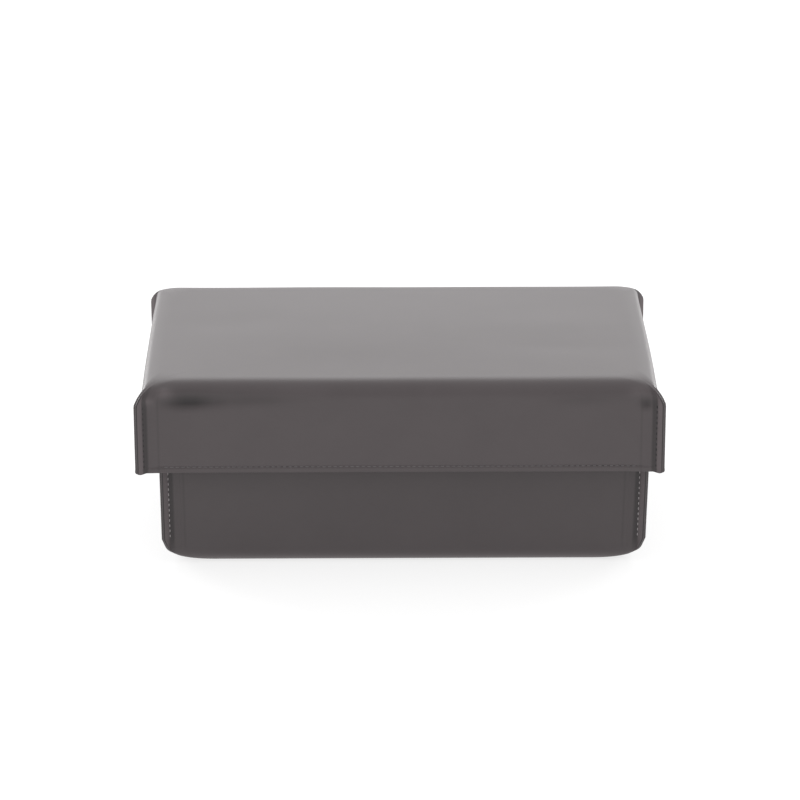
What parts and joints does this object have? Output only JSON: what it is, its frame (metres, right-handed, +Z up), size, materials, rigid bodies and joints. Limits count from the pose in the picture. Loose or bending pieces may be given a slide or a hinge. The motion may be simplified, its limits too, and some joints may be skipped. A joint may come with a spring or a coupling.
{
  "type": "stationery box",
  "caption": "Rectangular leather box for papers: a deep lift-off lid over a deeper lined base, with rounded shoulders and pinched, stitched corner fins.",
  "frame": {"origin": "on the floor, under the middle of the lid", "axes": "+X to the right along the long side, +Y to the back, +Z up"},
  "size_m": [0.3, 0.19, 0.1143],
  "materials": {
    "leather": "smooth satin, charcoal grey",
    "lining": "matt suede-like cloth",
    "board": "plain matt",
    "thread": "waxed thread"
  },
  "bodies": {
    "base": {"base_leather": "leather", "base_lining": "lining", "base_bottom_board": "board", "base_front_board": "board", "base_back_board": "board", "base_left_board": "board", "base_right_board": "board", "base_rim_stitching": "thread", "base_front_left_seam": "thread", "base_front_right_seam": "thread", "base_back_left_seam": "thread", "base_back_right_seam": "thread"},
    "lid": {"lid_leather": "leather", "lid_lining": "lining", "lid_top_board": "board", "lid_front_board": "board", "lid_back_board": "board", "lid_left_board": "board", "lid_right_board": "board", "lid_hem_stitching": "thread", "lid_front_left_seam": "thread", "lid_front_right_seam": "thread", "lid_back_left_seam": "thread", "lid_back_right_seam": "thread"}
  },
  "joints": [
    {"name": "lid_lift", "type": "slide", "parent": "base", "child": "lid", "axis": [0, 0, 1], "range_m": [0, 0.12]}
  ]
}
